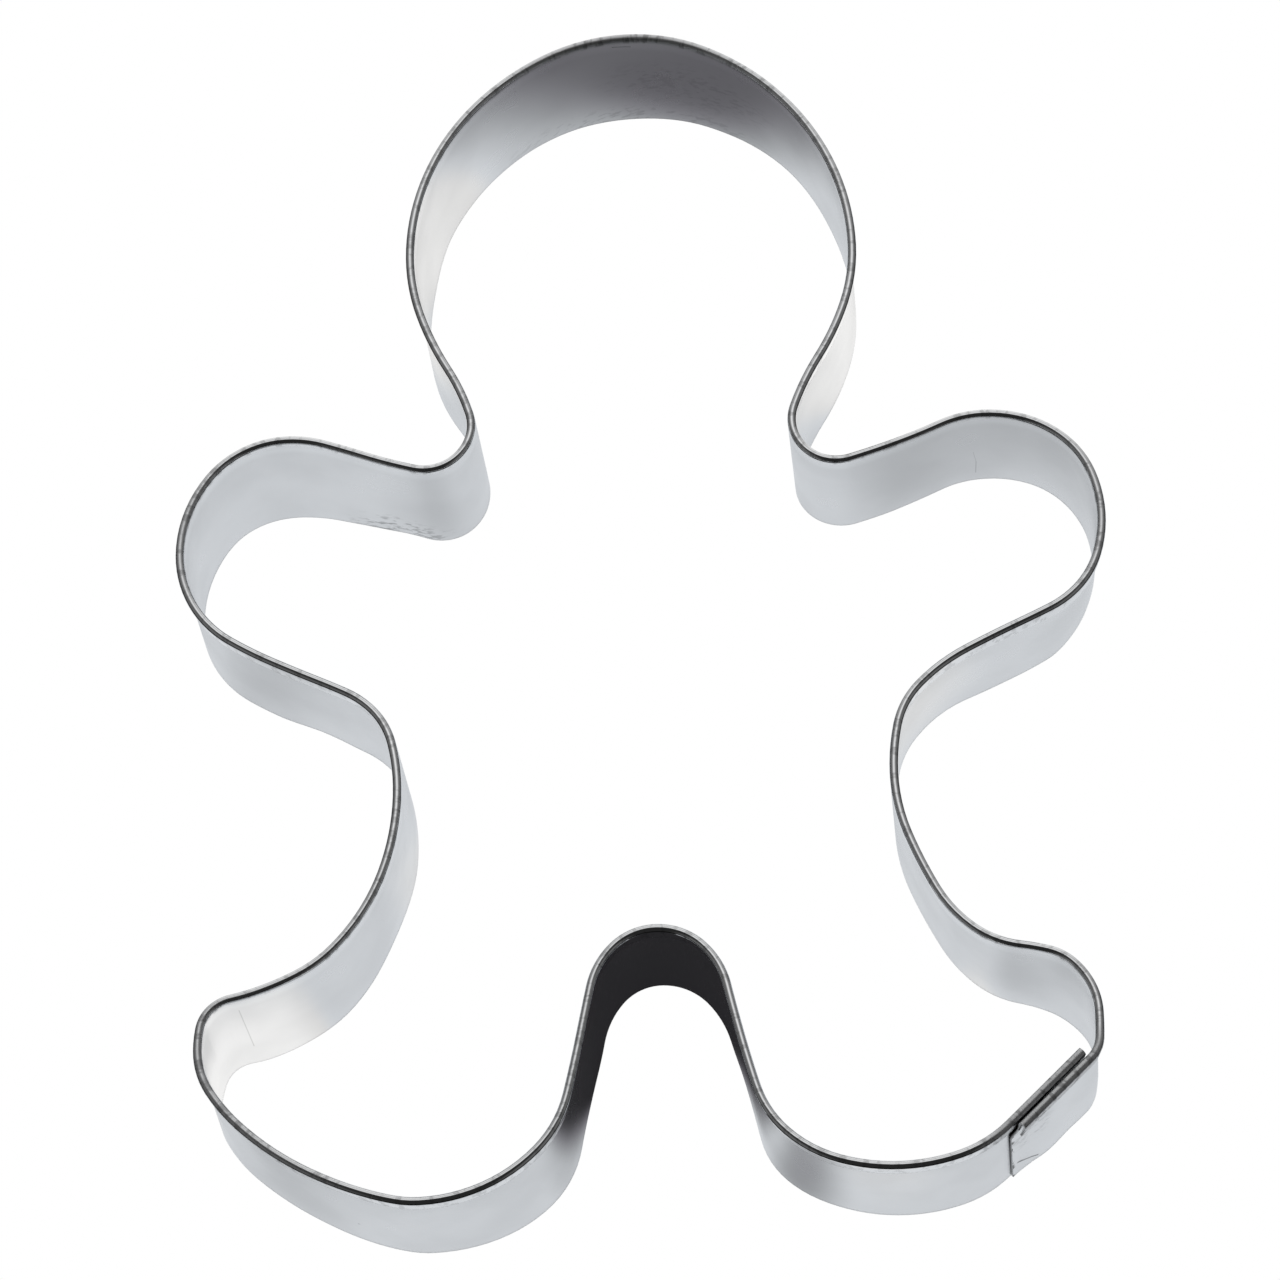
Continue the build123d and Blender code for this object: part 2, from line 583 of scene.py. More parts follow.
def arc(start, run, finish, turn_step, length_step):
    """Stations (place, run) along the arc that leaves start along run and ends at finish"""
    chord = finish - start
    turn = 2 * cmath.phase(chord / run)
    steps = ceil(max(abs(turn) / turn_step, abs(chord) / length_step))
    stations = []
    for step in range(1, steps + 1):
        part = turn * step / steps
        reach = sin(part / 2) / sin(turn / 2) if abs(turn) > 1e-6 else step / steps
        place = start + chord * reach * cmath.exp(0.5j * (part - turn))
        stations.append((place, run * cmath.exp(1j * part)))
    return stations


def biarc(start, finish, turn_step, length_step):
    """Stations along two tangent arcs from one place and run to the next"""
    (start_place, start_run), (finish_place, finish_run) = start, finish
    chord = finish_place - start_place
    turn = 2 * (1 - dot(start_run, finish_run))
    along = dot(chord, start_run + finish_run)
    reach = (sqrt(along**2 + turn * abs(chord) ** 2) - along) / turn
    middle = (start_place + start_run * reach + finish_place - finish_run * reach) / 2
    first = arc(start_place, start_run, middle, turn_step, length_step)
    second = arc(middle, first[-1][1], finish_place, turn_step, length_step)
    return first + second


def outline_stations(sizes):
    """Stations (place, run) of the hem's middle line, from the outer free end round to the inner one"""
    run = cmath.exp(1j * radians(LAP_HEADING))
    out = run / 1j
    offset = out * (HEM_WIDTH + LAP_HEM_GAP) / 2
    middle = complex(LAP_MIDDLE_SHARE[0] * sizes.figure_width, LAP_MIDDLE_SHARE[1] * sizes.figure_length)
    start = middle - run * sizes.lap_length / 2
    finish = start + run * sizes.lap_length
    stations = [(start + offset, run)]
    stations += arc(start + offset, run, finish + offset, SECTION_TURN, LAP_STEP)
    places = [(finish + offset, run)]
    for x, y, heading in OUTLINE_SHARES:
        place = complex(x * sizes.figure_width, y * sizes.figure_length)
        places.append((place, cmath.exp(1j * radians(heading))))
    places.append((start - offset, run))
    for first, second in zip(places, places[1:]):
        stations += biarc(first, second, SECTION_TURN, sizes.ring_step)
    stations += arc(start - offset, run, finish - offset, SECTION_TURN, LAP_STEP)
    return stations


def outline_mesh(stations):
    """Mesh of one open chain, with each station's run and its distance along the strip"""
    mesh = bpy.data.meshes.new("strip_path")
    points = [(place.real, place.imag, 0.0) for place, _ in stations]
    mesh.from_pydata(points, [(i, i + 1) for i in range(len(points) - 1)], [])
    runs = [part for _, run in stations for part in (run.real, run.imag, 0.0)]
    mesh.attributes.new("run", "FLOAT_VECTOR", "POINT").data.foreach_set("vector", runs)
    keep_distances(mesh, "along", [place for place, _ in stations])
    return mesh, mesh.attributes["along"].data[-1].value


def keep_distances(mesh, name, places):
    """Keep each point's distance along a chain of places, given as complex numbers"""
    distances = [0.0]
    for previous, place in zip(places, places[1:]):
        distances.append(distances[-1] + abs(place - previous))
    mesh.attributes.new(name, "FLOAT", "POINT").data.foreach_set("value", distances)


# Section

def section_points(sizes, welds):
    """Points (across, height, wall, side) round the section

    wall is 1 on the upright wall, and side is 1 on a face that looks out of the figure, -1 on the
    one that looks in.
    """
    half = HEM_WIDTH / 2
    crest = sizes.height - half
    wall_out = -half + SHEET
    leg_in = wall_out + HEM_MOUTH
    leg_out = leg_in + SHEET
    leg_end = sizes.height - HEM_LEG
    centres = (welds.lower, welds.upper)
    steps = [i * WALL_STEP for i in range(1, int(crest / WALL_STEP) + 1)]
    heights = [h for h in steps if min(abs(h - centre) for centre in centres) > WELD_REACH]
    for i in range(-WELD_STEPS_EACH_WAY, WELD_STEPS_EACH_WAY + 1):
        heights += [centre + i * WELD_STEP for centre in centres]
    heights.sort()
    rounding = [(1 - sin(turn), 1 - cos(turn)) for turn in (0, pi / 4, pi / 2)]

    # Inner face of the wall, crest, outer face of the leg
    points = [(-half + EDGE_ROUND * x, EDGE_ROUND * y, 1, -1) for x, y in rounding]
    points += [(-half, h, 1, -1) for h in heights if h < crest]
    for turn in (pi * (1 - i / CREST_STEPS) for i in range(CREST_STEPS + 1)):
        points.append((half * cos(turn), crest + half * sin(turn), 0, 0))
    for share in (0.25, 0.5, 0.75):
        points.append((half + (leg_out - half) * share, crest + (leg_end - crest) * share, 0, 1))

    # Rounded end of the leg, its inner face, inside of the fold, outer face of the wall
    end_turns = [i * pi / 6 for i in range(4)]
    for turn in end_turns:
        across = leg_out - LEG_END_ROUND * (1 - cos(turn))
        points.append((across, leg_end + LEG_END_ROUND * (1 - sin(turn)), 0, 1))
    for turn in reversed(end_turns):
        across = leg_in + LEG_END_ROUND * (1 - cos(turn))
        points.append((across, leg_end + LEG_END_ROUND * (1 - sin(turn)), 0, 0))
    fold = half - SHEET
    points.append(((leg_in + fold) / 2, (leg_end + crest) / 2, 0, 0))
    for turn in (pi * i / FOLD_STEPS for i in range(FOLD_STEPS + 1)):
        points.append((fold * cos(turn), crest + fold * sin(turn), 0, 0))
    points += [(wall_out, h, 1, 1) for h in reversed(heights) if h < crest]
    points += [(wall_out - EDGE_ROUND * x, EDGE_ROUND * y, 1, 1) for x, y in reversed(rounding)]
    return points


def section_object(sizes, welds):
    """Helper object that holds the closed section"""
    points = section_points(sizes, welds)
    mesh = bpy.data.meshes.new("strip_section")
    count = len(points)
    places = [(across, height, 0.0) for across, height, _, _ in points]
    mesh.from_pydata(places, [(i, (i + 1) % count) for i in range(count)], [])
    columns = {"across": 0, "rise": 1, "wall": 2, "side": 3}
    for name, column in columns.items():
        kept = mesh.attributes.new(name, "FLOAT", "POINT")
        kept.data.foreach_set("value", [point[column] for point in points])
    keep_distances(mesh, "girth", [complex(across, height) for across, height, _, _ in points])
    section = bpy.data.objects.new("strip_section", mesh)
    bpy.context.scene.collection.objects.link(section)
    return section


def named(tree, name, data_type="FLOAT"):
    """Value of a named attribute"""
    values = {"Name": name}
    return add(tree, "GeometryNodeInputNamedAttribute", values, data_type=data_type).outputs["Attribute"]


def stored(tree, geometry, name, value, data_type="FLOAT"):
    """Geometry with a value kept on its points"""
    values = {"Geometry": geometry, "Name": name, "Value": value}
    node = add(tree, "GeometryNodeStoreNamedAttribute", values, data_type=data_type, domain="POINT")
    return node.outputs["Geometry"]


def lean_group():
    """Node group: one lean of the wall, strongest at its place and gone at its length from it"""
    inputs = dict.fromkeys(("Along", "Place", "Length", "Lean"), "Float")
    group, given = new_group("Lean", "GeometryNodeTree", inputs, {"Out": "Float"})
    strength = bell(group, given["Along"], given["Place"], given["Length"])
    add(group, "NodeGroupOutput", {"Out": product(group, strength, given["Lean"])})
    return group


# Numbers that the strip's tree takes, besides its section and its material
STRIP_NUMBERS = (
    "Height",
    "Strip length",
    "Lap length",
    "Joggle shift",
    "Joggle drop",
    "Joggle height",
    "Joggle run",
    "Mitre setback",
    "Mitre height",
    "Weld from end",
    "Lower weld",
    "Upper weld",
    "Weld radius",
    "Dent",
    "Ripple",
    "Ripple seed",
    "Lean share",
)


def strip_tree():
    """Geometry nodes that sweep the section along the outline, with joggle, mitre, dents and leans"""
    inputs = {"Geometry": "Geometry", "Section": "Object", "Material": "Material"}
    inputs.update(dict.fromkeys(STRIP_NUMBERS, "Float"))
    tree, given = new_group("Hemmed strip", "GeometryNodeTree", inputs, {"Geometry": "Geometry"})

    path = add(tree, "GeometryNodeMeshToCurve", {"Mesh": given["Geometry"]}).outputs["Curve"]
    position = add(tree, "GeometryNodeInputPosition").outputs["Position"]
    path = stored(tree, path, "spine", position, "FLOAT_VECTOR")
    section = add(tree, "GeometryNodeObjectInfo", {"Object": given["Section"]}).outputs["Geometry"]
    profile = add(tree, "GeometryNodeMeshToCurve", {"Mesh": section}).outputs["Curve"]
    values = {"Curve": path, "Profile Curve": profile, "Fill Caps": True}
    swept = add(tree, "GeometryNodeCurveToMesh", values).outputs["Mesh"]

    along = named(tree, "along")
    rise = named(tree, "rise")
    wall = named(tree, "wall")
    side = named(tree, "side")
    run = named(tree, "run", "FLOAT_VECTOR")
    spine = named(tree, "spine", "FLOAT_VECTOR")
    out = vec(tree, "CROSS_PRODUCT", run, (0.0, 0.0, 1.0))

    # Joggle of the outer end's wall, full over the lap and run out beyond it
    joggle_top = calc(tree, "SUBTRACT", given["Height"], given["Joggle drop"])
    joggle_foot = calc(tree, "SUBTRACT", joggle_top, given["Joggle height"])
    run_out = calc(tree, "SUBTRACT", given["Lap length"], given["Joggle run"])
    step = ramp(tree, rise, joggle_foot, joggle_top, 1.0, 0.0)
    values = {"Value": along, "From Min": run_out, "From Max": given["Lap length"]}
    values.update({"To Min": 1.0, "To Max": 0.0})
    reach = add(tree, "ShaderNodeMapRange", values).outputs["Result"]
    shift = product(tree, step, reach, wall, given["Joggle shift"])

    # Dents of the welds, in the outward face of the outer end and the inward face of the inner end
    inner_start = calc(tree, "SUBTRACT", given["Strip length"], given["Lap length"])
    inner_weld = summed(tree, inner_start, given["Weld from end"])
    dent_middle = product(tree, given["Weld radius"], DENT_MIDDLE)
    dent_rim = product(tree, given["Weld radius"], DENT_RIM)
    dents = 0.0
    for place, facing in ((given["Weld from end"], 1.0), (inner_weld, -1.0)):
        faces = calc(tree, "MAXIMUM", product(tree, side, facing), 0.0)
        for height in (given["Lower weld"], given["Upper weld"]):
            aside = calc(tree, "SUBTRACT", along, place)
            up = calc(tree, "SUBTRACT", rise, height)
            squares = summed(tree, product(tree, aside, aside), product(tree, up, up))
            dent = ramp(tree, calc(tree, "SQRT", squares), dent_middle, dent_rim, 1.0, 0.0)
            dents = summed(tree, dents, product(tree, dent, faces, facing))
    dents = product(tree, dents, given["Dent"])

    # Ripple of the hand-bent wall, none in the lap, and its leans, which grow down to the cutting edge
    values = {"Vector": spine, "W": given["Ripple seed"], "Scale": 45.0, "Detail": 1.0}
    wander = noise(tree, values, noise_dimensions="4D")
    wander = product(tree, calc(tree, "SUBTRACT", wander, 0.5), 2.0)
    down = calc(tree, "SUBTRACT", 1.0, calc(tree, "DIVIDE", rise, given["Height"]))
    lap_twice = product(tree, given["Lap length"], 2.0)
    free_start = ramp(tree, along, given["Lap length"], lap_twice)
    to_end = calc(tree, "SUBTRACT", given["Strip length"], along)
    free_end = ramp(tree, to_end, given["Lap length"], lap_twice)
    free = product(tree, free_start, free_end, wall)
    ripple = product(tree, wander, given["Ripple"], free, down)
    one_lean = lean_group()
    lean = 0.0
    for name, (middle, length, amount) in LEANS.items():
        values = {"Along": along, "Place": middle * MM, "Length": length * MM, "Lean": amount * MM}
        node = add(tree, "GeometryNodeGroup", values, node_tree=one_lean, label=name)
        lean = summed(tree, lean, node.outputs["Out"])
    lean = product(tree, lean, down, wall, given["Lean share"])

    # Mitre of the outer end's upper corner, eased out over the first rings
    mitre_foot = calc(tree, "SUBTRACT", given["Height"], given["Mitre height"])
    slope = calc(tree, "DIVIDE", calc(tree, "SUBTRACT", rise, mitre_foot), given["Mitre height"])
    easing = product(tree, given["Mitre setback"], MITRE_RUN)
    eased = calc(tree, "MAXIMUM", calc(tree, "SUBTRACT", 1.0, calc(tree, "DIVIDE", along, easing)), 0.0)
    setback = product(tree, calc(tree, "MAXIMUM", slope, 0.0), given["Mitre setback"], eased)

    # Masks for the finish: distance from the nearer end, and the two flanks in the gap of the lap, where
    # shade is painted
    across = named(tree, "across")
    flanks = []
    for from_tip, flank, ends in ((along, OUTER_FLANK, (1.0, 0.0)), (to_end, INNER_FLANK, (0.0, 1.0))):
        lapped = calc(tree, "LESS_THAN", from_tip, given["Lap length"])
        low, high = (share * HEM_WIDTH / 2 for share in flank)
        flanks.append(product(tree, lapped, ramp(tree, across, low, high, *ends)))
    swept = stored(tree, swept, "from_end", calc(tree, "MINIMUM", along, to_end))
    swept = stored(tree, swept, "gap", summed(tree, *flanks))

    # Every point to its place
    across = calc(tree, "SUBTRACT", calc(tree, "SUBTRACT", across, shift), dents)
    across = summed(tree, across, ripple, lean)
    place = vec(tree, "ADD", spine, scaled(tree, out, across))
    place = vec(tree, "ADD", place, scaled(tree, run, setback))
    upright = add(tree, "ShaderNodeCombineXYZ", {"Z": rise}).outputs["Vector"]
    place = vec(tree, "ADD", place, upright)
    set_place = add(tree, "GeometryNodeSetPosition", {"Geometry": swept, "Position": place})
    smooth = add(tree, "GeometryNodeSetShadeSmooth", {"Geometry": set_place.outputs["Geometry"]})
    real = add(tree, "GeometryNodeRealizeInstances", {"Geometry": smooth.outputs["Geometry"]})
    values = {"Geometry": real.outputs["Geometry"], "Material": given["Material"]}
    done = add(tree, "GeometryNodeSetMaterial", values)
    add(tree, "NodeGroupOutput", {"Geometry": done.outputs["Geometry"]})
    return tree


def made_real(holder, tree, inputs, name):
    """Runs a tree on a helper object and returns a plain object with the result"""
    modifier = holder.modifiers.new("making", "NODES")
    modifier.node_group = tree
    identifiers = {item.name: item.identifier for item in tree.interface.items_tree if item.in_out == "INPUT"}
    for key, value in inputs.items():
        modifier[identifiers[key]] = value
    bpy.context.view_layer.update()
    evaluated = holder.evaluated_get(bpy.context.evaluated_depsgraph_get())
    mesh = bpy.data.meshes.new_from_object(evaluated)
    holder.modifiers.remove(modifier)
    bpy.data.objects.remove(holder)
    shape = bmesh.new()
    shape.from_mesh(mesh)
    bmesh.ops.remove_doubles(shape, verts=shape.verts, dist=MERGE_DISTANCE)
    bmesh.ops.recalc_face_normals(shape, faces=shape.faces)
    if shape.calc_volume(signed=True) < 0:
        bmesh.ops.reverse_faces(shape, faces=shape.faces)
    shape.to_mesh(mesh)
    shape.free()
    mesh.set_sharp_from_angle(angle=SHARP_ANGLE)
    mesh.name = name
    piece = bpy.data.objects.new(name, mesh)
    bpy.context.scene.collection.objects.link(piece)
    return piece


# Finish

def attribute(tree, name):
    """Number kept on a piece's points"""
    return add(tree, "ShaderNodeAttribute", attribute_name=name).outputs["Fac"]


def grain_group():
    """Shader group: fine specks and slow clouds of a dipped and rolled sheet, and bites along its hem"""
    inputs = dict.fromkeys(("Along", "Girth", "Speck size", "Bite length"), "Float")
    outputs = dict.fromkeys(("Specks", "Clouds", "Bites"), "Float")
    group, given = new_group("Rolled grain", "ShaderNodeTree", inputs, outputs)
    sheet = add(group, "ShaderNodeCombineXYZ", {"X": given["Along"], "Y": given["Girth"]}).outputs["Vector"]
    fineness = calc(group, "DIVIDE", 1.0, given["Speck size"])
    specks = noise(group, {"Vector": sheet, "Scale": fineness, "Detail": 2.0})
    clouds = noise(group, {"Vector": sheet, "Scale": 90.0, "Detail": 3.0})
    across_hem = vec(group, "MULTIPLY", sheet, (1.0, 0.35, 1.0))
    closeness = calc(group, "DIVIDE", 1.0, given["Bite length"])
    bites = noise(group, {"Vector": across_hem, "Scale": closeness, "Detail": 2.0, "Roughness": 0.6})
    bites = ramp(group, bites, 0.50, 0.64)
    add(group, "NodeGroupOutput", {"Specks": specks, "Clouds": clouds, "Bites": bites})
    return group


def scratch_group():
    """Shader group: mask of one straight mark between two places of the unrolled sheet"""
    inputs = {"Sheet": "Vector", "From": "Vector", "To": "Vector", "Width": "Float"}
    group, given = new_group("Scratch", "ShaderNodeTree", inputs, {"Mark": "Float"})
    line = vec(group, "SUBTRACT", given["To"], given["From"])
    start = vec(group, "SUBTRACT", given["Sheet"], given["From"])
    square = vec(group, "DOT_PRODUCT", line, line)
    part = calc(group, "DIVIDE", vec(group, "DOT_PRODUCT", start, line), square)
    part = calc(group, "MINIMUM", calc(group, "MAXIMUM", part, 0.0), 1.0)
    off = vec(group, "LENGTH", vec(group, "SUBTRACT", start, scaled(group, line, part)))
    mark = ramp(group, off, 0.0, given["Width"], 1.0, 0.0)
    add(group, "NodeGroupOutput", {"Mark": mark})
    return group


def scuff_group():
    """Shader group: mask of a patch of small slanting scuffs on the unrolled sheet"""
    inputs = dict.fromkeys(("Sheet", "Centre", "Reach"), "Vector")
    group, given = new_group("Scuffs", "ShaderNodeTree", inputs, {"Mark": "Float"})
    off = vec(group, "SUBTRACT", given["Sheet"], given["Centre"])
    far = vec(group, "LENGTH", vec(group, "DIVIDE", off, given["Reach"]))
    slanted = add(group, "ShaderNodeMapping", {"Vector": given["Sheet"], "Rotation": (0.0, 0.0, 0.3)})
    drawn_out = vec(group, "MULTIPLY", slanted.outputs[0], (0.55, 1.3, 1.0))
    scuffs = noise(group, {"Vector": drawn_out, "Scale": 1500.0, "Detail": 2.0})
    mark = product(group, ramp(group, scuffs, 0.50, 0.66), ramp(group, far, 0.3, 1.0, 1.0, 0.0))
    add(group, "NodeGroupOutput", {"Mark": mark})
    return group


def shade(colour, share):
    """Colour cut to a share of its brightness, with its alpha"""
    return (*(share * part for part in colour), 1.0)


def metal(name, colour, roughness):
    """Material with a metal shader, its tree and its shader"""
    material = bpy.data.materials.new(name)
    material.use_nodes = True
    tree = material.node_tree
    shader = tree.nodes["Principled BSDF"]
    shader.inputs["Metallic"].default_value = 1.0
    shader.inputs["Roughness"].default_value = roughness
    shader.inputs["Base Color"].default_value = (*colour, 1.0)
    return material, tree, shader


def tinplate(finish, groups):
    """Bright tinned steel: satin on the wall, burnished and bitten on the hem, with its marks, painted shade
    and shadows in the lap and at its ends, and a painted sheen under the hem
    """
    material, tree, shader = metal("tinplate", finish.tin_colour, finish.wall_roughness)
    along = attribute(tree, "along")
    rise = attribute(tree, "rise")
    wall = attribute(tree, "wall")
    from_end = attribute(tree, "from_end")
    hem = calc(tree, "SUBTRACT", 1.0, wall)
    values = {"Along": along, "Girth": attribute(tree, "girth"), **GRAIN_SIZES}
    grain = add(tree, "ShaderNodeGroup", values, node_tree=groups["grain"])
    specks, clouds, ragged = (grain.outputs[key] for key in ("Specks", "Clouds", "Bites"))
    bites = product(tree, ragged, hem)

    # Hem dulled in the lap and where bending strained it, and a painted sheen: the wall lighter just under
    # the hem
    dull = ramp(tree, from_end, *LAP_DULL, 1.0, 0.0)
    for middle, length, strength in DULL_STRETCHES.values():
        stretch = bell(tree, along, middle * MM, length * MM)
        dull = calc(tree, "MAXIMUM", dull, product(tree, stretch, strength))
    dull = product(tree, dull, hem)
    rim_sheen = product(tree, ramp(tree, rise, *RIM_SHEEN), wall)

    # Sheared ends and cutting edge, ragged and dark as raw steel, with painted shadow at the free ends, and
    # painted shade on the flanks in the gap of the lap
    edge = calc(tree, "SUBTRACT", from_end, product(tree, ragged, SHEARED_RAGGED))
    spared = calc(tree, "SUBTRACT", 1.0, product(tree, hem, SHEARED_HEM_SPARED))
    # Painted shadow of the gap behind each free end, laid over the dark of its raw sheared steel
    end_shadow_and_shear = product(tree, ramp(tree, edge, *SHEARED, END_SHADOW_AND_SHEAR_DARK, 0.0), spared)
    cut = ramp(tree, rise, *CUT_EDGE, CUT_EDGE_DARK, 0.0)
    # Painted shade of the lap's gap, together with the dark raw edges
    shade_and_raw_edges = calc(tree, "MAXIMUM", calc(tree, "MAXIMUM", end_shadow_and_shear, cut), attribute(tree, "gap"))

    # Scratches, creases and scuffs, on the unrolled sheet with its two faces kept apart
    values = {"X": along, "Y": rise, "Z": product(tree, attribute(tree, "side"), FACES_APART)}
    sheet = add(tree, "ShaderNodeCombineXYZ", values).outputs["Vector"]
    light_marks = 0.0
    dark_marks_and_shade = 0.0
    for name, (tone, side, first, last, width) in MARKS.items():
        values = {
            "Sheet": sheet,
            "From": (first[0] * MM, first[1] * MM, side * FACES_APART),
            "To": (last[0] * MM, last[1] * MM, side * FACES_APART),
            "Width": width * MM,
        }
        mark = add(tree, "ShaderNodeGroup", values, node_tree=groups["scratch"], label=name)
        mark = product(tree, mark.outputs["Mark"], abs(tone))
        if tone > 0:
            light_marks = calc(tree, "MAXIMUM", light_marks, mark)
        else:
            dark_marks_and_shade = calc(tree, "MAXIMUM", dark_marks_and_shade, mark)
    for name, (tone, side, centre, reach) in SCUFFS.items():
        values = {
            "Sheet": sheet,
            "Centre": (centre[0] * MM, centre[1] * MM, side * FACES_APART),
            "Reach": (reach[0] * MM, reach[1] * MM, FACES_APART),
        }
        patch = add(tree, "ShaderNodeGroup", values, node_tree=groups["scuffs"], label=name)
        dark_marks_and_shade = calc(tree, "MAXIMUM", dark_marks_and_shade, product(tree, patch.outputs["Mark"], tone))

    bright, grey, dark, black = (shade(finish.tin_colour, share) for share in TIN_SHADES)
    colour = blended(tree, ramp(tree, clouds, 0.35, 0.70), bright, grey)
    # Painted sheen on the rim of the wall just under the hem
    colour = blended(tree, product(tree, rim_sheen, RIM_LIGHT), colour, SHEEN_AND_BARE_METAL)
    colour = blended(tree, product(tree, dull, DULL_DARK), colour, dark)
    bitten = summed(tree, product(tree, dull, BITES_DARKER_WHERE_DULL), BITES_DARK)
    colour = blended(tree, product(tree, bites, bitten), colour, dark)
    # Painted shade and shadows in black, with the dark raw edges and the dark marks
    colour = blended(tree, calc(tree, "MAXIMUM", shade_and_raw_edges, dark_marks_and_shade), colour, black)
    colour = blended(tree, light_marks, colour, SHEEN_AND_BARE_METAL)
    tree.links.new(colour, shader.inputs["Base Color"])

    least = finish.wall_roughness - CLOUDS_ROUGH
    rough = ramp(tree, clouds, 0.3, 0.7, least, finish.wall_roughness + CLOUDS_ROUGH)
    burnished = product(tree, hem, finish.wall_roughness - finish.hem_roughness)
    rough = calc(tree, "SUBTRACT", rough, burnished)
    for mask, roughness in ((bites, BITES_ROUGH), (dull, DULL_ROUGH), (shade_and_raw_edges, SHADE_AND_RAW_EDGE_ROUGH)):
        rough = summed(tree, rough, product(tree, mask, roughness))
    tree.links.new(rough, shader.inputs["Roughness"])

    relief = calc(tree, "SUBTRACT", product(tree, specks, SPECKS_DEEP), product(tree, bites, BITES_DEEP))
    bump = add(tree, "ShaderNodeBump", {"Height": relief, "Strength": 0.2, "Distance": RELIEF})
    tree.links.new(bump.outputs["Normal"], shader.inputs["Normal"])
    return material


def weld_metal(finish, groups):
    """Pressed weld: greyer and rougher than the sheet, with a fine grain"""
    material, tree, shader = metal("pressed_weld", finish.weld_colour, WELD_ROUGHNESS)
    place = add(tree, "ShaderNodeTexCoord").outputs["Object"]
    parts = add(tree, "ShaderNodeSeparateXYZ", {"Vector": place}).outputs
    values = {"Along": parts["X"], "Girth": parts["Z"], **GRAIN_SIZES}
    grain = add(tree, "ShaderNodeGroup", values, node_tree=groups["grain"])
    bright, dull = (shade(finish.weld_colour, share) for share in WELD_SHADES)
    colour = blended(tree, ramp(tree, grain.outputs["Specks"], 0.35, 0.7), bright, dull)
    tree.links.new(colour, shader.inputs["Base Color"])
    rough = ramp(tree, grain.outputs["Clouds"], 0.3, 0.7, *WELD_CLOUDS)
    tree.links.new(rough, shader.inputs["Roughness"])
    values = {"Height": grain.outputs["Specks"], "Strength": 0.3, "Distance": RELIEF}
    bump = add(tree, "ShaderNodeBump", values)
    tree.links.new(bump.outputs["Normal"], shader.inputs["Normal"])
    return material


def shared_groups():
    """Shader groups that the materials share, built once"""
    made = {
        "grain": ("Rolled grain", grain_group),
        "scratch": ("Scratch", scratch_group),
        "scuffs": ("Scuffs", scuff_group),
    }
    return {key: bpy.data.node_groups.get(name) or build() for key, (name, build) in made.items()}


class CUTTER_OT_hemmed_strip(bpy.types.Operator):
    """Sweep the hemmed strip round the figure and dress it in tinplate"""

    bl_idname = "cutter.hemmed_strip"
    bl_label = "Hemmed strip"

    def execute(self, context):
        sizes = context.scene.cutter_strip
        welds = context.scene.cutter_welds
        mesh, length = outline_mesh(outline_stations(sizes))
        holder = bpy.data.objects.new("strip_path", mesh)
        context.scene.collection.objects.link(holder)
        section = section_object(sizes, welds)
        inputs = {
            "Section": section,
            "Height": sizes.height,
            "Strip length": length,
            "Lap length": sizes.lap_length,
            "Joggle shift": HEM_WIDTH + LAP_HEM_GAP - SHEET - LAP_SEAM_GAP,
            "Joggle drop": sizes.joggle_drop,
            "Joggle height": sizes.joggle_height,
            "Joggle run": sizes.joggle_run,
            "Mitre setback": sizes.mitre_setback,
            "Mitre height": sizes.mitre_height,
            "Weld from end": welds.from_end,
            "Lower weld": welds.lower,
            "Upper weld": welds.upper,
            "Weld radius": welds.diameter / 2,
            "Dent": welds.dent,
            "Ripple": sizes.ripple,
            "Ripple seed": 4.0,
            "Lean share": sizes.lean,
            "Material": tinplate(context.scene.cutter_finish, shared_groups()),
        }
        piece = made_real(holder, strip_tree(), inputs, "hemmed_strip")
        bpy.data.objects.remove(section)
        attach(piece, "root")
        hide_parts("cutter_band")
        return {"FINISHED"}


class CUTTER_OT_spot_welds(bpy.types.Operator):
    """Dress the spot welds of the lap"""

    bl_idname = "cutter.spot_welds"
    bl_label = "Spot welds"

    def execute(self, context):
        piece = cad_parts["spot_welds"]
        material = weld_metal(context.scene.cutter_finish, shared_groups())
        for slot in piece.material_slots:
            slot.material = material
        return {"FINISHED"}


def pool_group():
    """Shader group: light of the floor with one soft pool in it, darker or brighter than the rest"""
    inputs = dict.fromkeys(("Light", "Core", "Gain"), "Float")
    inputs.update(dict.fromkeys(("Place", "Centre", "Reach"), "Vector"))
    group, given = new_group("Floor pool", "ShaderNodeTree", inputs, {"Light": "Float"})
    off = vec(group, "SUBTRACT", given["Place"], given["Centre"])
    far = vec(group, "LENGTH", vec(group, "DIVIDE", off, given["Reach"]))
    gain = product(group, ramp(group, far, given["Core"], POOL_RIM, 1.0, 0.0), given["Gain"])
    light = product(group, given["Light"], summed(group, 1.0, gain))
    add(group, "NodeGroupOutput", {"Light": light})
    return group


